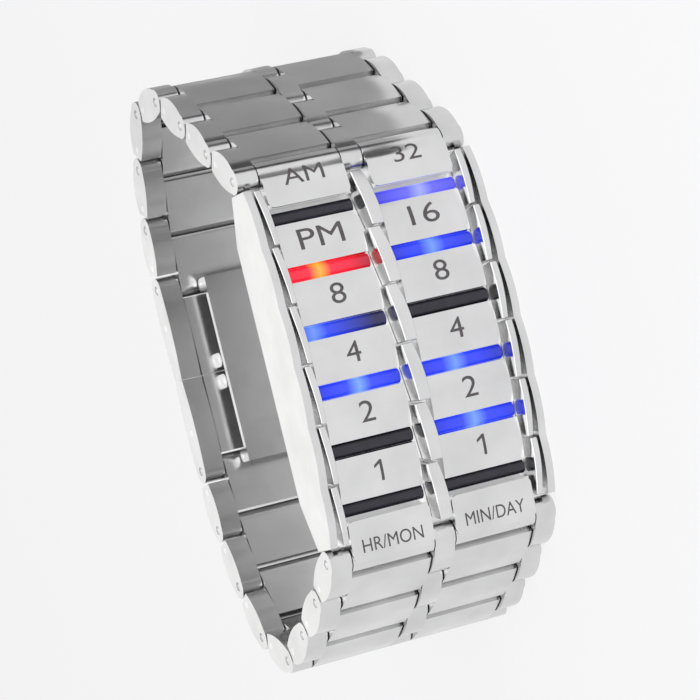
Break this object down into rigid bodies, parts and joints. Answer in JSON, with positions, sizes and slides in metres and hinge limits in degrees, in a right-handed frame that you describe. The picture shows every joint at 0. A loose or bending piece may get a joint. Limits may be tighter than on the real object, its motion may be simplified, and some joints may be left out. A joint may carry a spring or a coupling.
{
  "type": "binary led watch",
  "caption": "Steel bracelet watch whose face is two columns of curved plates with a light bar in each gap, on a closed link bracelet with a folding butterfly clasp.",
  "frame": {"origin": "on the case's flat side wall that the closed watch rests on, level with the front of the middle plates and midway between the lugs", "axes": "+X from the middle of the face towards its upper end (AM and 32), +Y from the face back towards the wrist and clasp, +Z across the bracelet from the resting side (the side with the buttons) to the other side"},
  "size_m": [0.07, 0.0404, 0.028],
  "materials": {
    "steel_bracelet": "satin",
    "steel_pin": "polished",
    "steel_clasp": "polished",
    "steel_case": "satin",
    "steel_rail": "satin",
    "steel_cover": "satin",
    "steel_plate": "satin",
    "light_bar": "gloss",
    "led_blue": "gloss",
    "led_red": "gloss",
    "board": "matt",
    "chip": "matt",
    "crystal_can": "satin",
    "holder": "matt",
    "cell": "satin",
    "contact": "satin",
    "gasket": "matt"
  },
  "bodies": {
    "head": {"back_cover": "steel_cover", "button_cells": "cell", "button_leaves": "contact", "case_body": "steel_case", "case_gasket": "gasket", "cell_holder": "holder", "cell_strip": "contact", "circuit_board": "board", "control_chip": "chip", "cover_screws": "steel_pin", "digit_plates_left": "steel_plate", "digit_plates_right": "steel_plate", "leds_blue": "led_blue", "leds_red": "led_red", "light_bars_left": "light_bar", "light_bars_right": "light_bar", "quartz_crystal": "crystal_can", "rail_centre": "steel_rail", "rail_left": "steel_rail", "rail_right": "steel_rail"},
    "upper_row_1": {"upper_link_1": "steel_bracelet", "upper_link_1_pins": "steel_pin"},
    "upper_row_2": {"upper_link_2": "steel_bracelet", "upper_link_2_pins": "steel_pin"},
    "upper_row_3": {"upper_link_3": "steel_bracelet", "upper_link_3_pins": "steel_pin"},
    "upper_row_4": {"upper_link_4": "steel_bracelet", "upper_link_4_pins": "steel_pin"},
    "upper_row_5": {"upper_link_5": "steel_bracelet", "upper_link_5_pins": "steel_pin"},
    "upper_row_6": {"upper_link_6": "steel_bracelet", "upper_link_6_pins": "steel_pin"},
    "upper_row_7": {"upper_link_7": "steel_bracelet", "upper_link_7_pins": "steel_pin"},
    "upper_end": {"upper_end_block": "steel_bracelet", "upper_end_block_pins": "steel_pin"},
    "upper_wing_body": {"upper_wing": "steel_clasp"},
    "upper_button_body": {"upper_button": "steel_pin", "upper_button_clip": "steel_pin"},
    "lower_row_1": {"lower_link_1": "steel_bracelet", "lower_link_1_pins": "steel_pin"},
    "lower_row_2": {"lower_link_2": "steel_bracelet", "lower_link_2_pins": "steel_pin"},
    "lower_row_3": {"lower_link_3": "steel_bracelet", "lower_link_3_pins": "steel_pin"},
    "lower_row_4": {"lower_link_4": "steel_bracelet", "lower_link_4_pins": "steel_pin"},
    "lower_row_5": {"lower_link_5": "steel_bracelet", "lower_link_5_pins": "steel_pin"},
    "lower_row_6": {"lower_link_6": "steel_bracelet", "lower_link_6_pins": "steel_pin"},
    "lower_row_7": {"lower_link_7": "steel_bracelet", "lower_link_7_pins": "steel_pin"},
    "lower_end": {"lower_end_block": "steel_bracelet", "lower_end_block_pins": "steel_pin"},
    "lower_wing_body": {"lower_wing": "steel_clasp"},
    "lower_button_body": {"lower_button": "steel_pin", "lower_button_clip": "steel_pin"},
    "clasp_base_body": {"clasp_base": "steel_clasp", "clasp_base_pins": "steel_pin"}
  },
  "joints": [
    {"name": "upper_hinge_1", "type": "hinge", "parent": "head", "child": "upper_row_1", "pos_m": [0.0217, 0.0039, 0.014], "axis": [0, 0, 1], "range_deg": [0, 2.7]},
    {"name": "upper_hinge_2", "type": "hinge", "parent": "upper_row_1", "child": "upper_row_2", "pos_m": [0.02594, 0.00996, 0.014], "axis": [0, 0, 1], "range_deg": [0, 9.6]},
    {"name": "upper_hinge_3", "type": "hinge", "parent": "upper_row_2", "child": "upper_row_3", "pos_m": [0.0304, 0.01587, 0.014], "axis": [0, 0, 1], "range_deg": [-7.5, 0]},
    {"name": "upper_hinge_4", "type": "hinge", "parent": "upper_row_3", "child": "upper_row_4", "pos_m": [0.03443, 0.02208, 0.014], "axis": [0, 0, 1], "range_deg": [-36.2, 0]},
    {"name": "upper_hinge_5", "type": "hinge", "parent": "upper_row_4", "child": "upper_row_5", "pos_m": [0.03443, 0.02948, 0.014], "axis": [0, 0, 1], "range_deg": [-54.4, 0]},
    {"name": "upper_hinge_6", "type": "hinge", "parent": "upper_row_5", "child": "upper_row_6", "pos_m": [0.02829, 0.03362, 0.014], "axis": [0, 0, 1], "range_deg": [-15, 0]},
    {"name": "upper_hinge_7", "type": "hinge", "parent": "upper_row_6", "child": "upper_row_7", "pos_m": [0.02134, 0.03615, 0.014], "axis": [0, 0, 1], "range_deg": [0, 45.8]},
    {"name": "upper_hinge_8", "type": "hinge", "parent": "upper_row_7", "child": "upper_end", "pos_m": [0.01405, 0.03743, 0.014], "axis": [0, 0, 1], "range_deg": [0, 45.8]},
    {"name": "upper_wing_hinge", "type": "hinge", "parent": "upper_end", "child": "upper_wing_body", "pos_m": [0.00417, 0.03488, 0.014], "axis": [0, 0, 1], "range_deg": [-93.4, 0]},
    {"name": "clasp_open", "type": "hinge", "parent": "upper_wing_body", "child": "clasp_base_body", "pos_m": [0.01337, 0.03493, 0.014], "axis": [0, 0, 1], "range_deg": [0, 110]},
    {"name": "lower_wing_hinge", "type": "hinge", "parent": "clasp_base_body", "child": "lower_wing_body", "pos_m": [-0.00763, 0.03481, 0.014], "axis": [0, 0, 1], "range_deg": [0, 59.8]},
    {"name": "lower_hinge_1", "type": "hinge", "parent": "head", "child": "lower_row_1", "pos_m": [-0.0217, 0.0039, 0.014], "axis": [0, 0, 1], "range_deg": [-18.8, 0]},
    {"name": "lower_hinge_2", "type": "hinge", "parent": "lower_row_1", "child": "lower_row_2", "pos_m": [-0.02575, 0.01009, 0.014], "axis": [0, 0, 1], "range_deg": [-52.4, 0]},
    {"name": "lower_hinge_3", "type": "hinge", "parent": "lower_row_2", "child": "lower_row_3", "pos_m": [-0.02925, 0.01662, 0.014], "axis": [0, 0, 1], "range_deg": [0, 8.7]},
    {"name": "lower_hinge_4", "type": "hinge", "parent": "lower_row_3", "child": "lower_row_4", "pos_m": [-0.03204, 0.02347, 0.014], "axis": [0, 0, 1], "range_deg": [0, 54.7]},
    {"name": "lower_hinge_5", "type": "hinge", "parent": "lower_row_4", "child": "lower_row_5", "pos_m": [-0.02905, 0.03024, 0.014], "axis": [0, 0, 1], "range_deg": [0, 39.7]},
    {"name": "lower_hinge_6", "type": "hinge", "parent": "lower_row_5", "child": "lower_row_6", "pos_m": [-0.02272, 0.03407, 0.014], "axis": [0, 0, 1], "range_deg": [0, 15.3]},
    {"name": "lower_hinge_7", "type": "hinge", "parent": "lower_row_6", "child": "lower_row_7", "pos_m": [-0.01569, 0.03638, 0.014], "axis": [0, 0, 1], "range_deg": [-2, 0]},
    {"name": "lower_hinge_8", "type": "hinge", "parent": "lower_row_7", "child": "lower_end", "pos_m": [-0.00835, 0.0373, 0.014], "axis": [0, 0, 1], "range_deg": [-46.4, 0]},
    {"name": "upper_button_press", "type": "slide", "parent": "head", "child": "upper_button_body", "axis": [0, 0, 1], "range_m": [0, 0.0005], "stiffness_N_per_m": 400, "springref_m": -0.0005},
    {"name": "lower_button_press", "type": "slide", "parent": "head", "child": "lower_button_body", "axis": [0, 0, 1], "range_m": [0, 0.0005], "stiffness_N_per_m": 400, "springref_m": -0.0005}
  ],
  "couplings": [
    {"joint": "upper_hinge_1", "follows": "clasp_open", "ratio": 0.0239},
    {"joint": "upper_hinge_2", "follows": "clasp_open", "ratio": 0.0871},
    {"joint": "upper_hinge_3", "follows": "clasp_open", "ratio": -0.0676},
    {"joint": "upper_hinge_4", "follows": "clasp_open", "ratio": -0.3283},
    {"joint": "upper_hinge_5", "follows": "clasp_open", "ratio": -0.4942},
    {"joint": "upper_hinge_6", "follows": "clasp_open", "ratio": -0.1363},
    {"joint": "upper_hinge_7", "follows": "clasp_open", "ratio": 0.4161},
    {"joint": "upper_hinge_8", "follows": "clasp_open", "ratio": 0.4155},
    {"joint": "upper_wing_hinge", "follows": "clasp_open", "ratio": -0.8491},
    {"joint": "lower_wing_hinge", "follows": "clasp_open", "ratio": 0.5433},
    {"joint": "lower_hinge_1", "follows": "clasp_open", "ratio": -0.1701},
    {"joint": "lower_hinge_2", "follows": "clasp_open", "ratio": -0.476},
    {"joint": "lower_hinge_3", "follows": "clasp_open", "ratio": 0.0786},
    {"joint": "lower_hinge_4", "follows": "clasp_open", "ratio": 0.4967},
    {"joint": "lower_hinge_5", "follows": "clasp_open", "ratio": 0.36},
    {"joint": "lower_hinge_6", "follows": "clasp_open", "ratio": 0.1385},
    {"joint": "lower_hinge_7", "follows": "clasp_open", "ratio": -0.0175},
    {"joint": "lower_hinge_8", "follows": "clasp_open", "ratio": -0.4215}
  ]
}
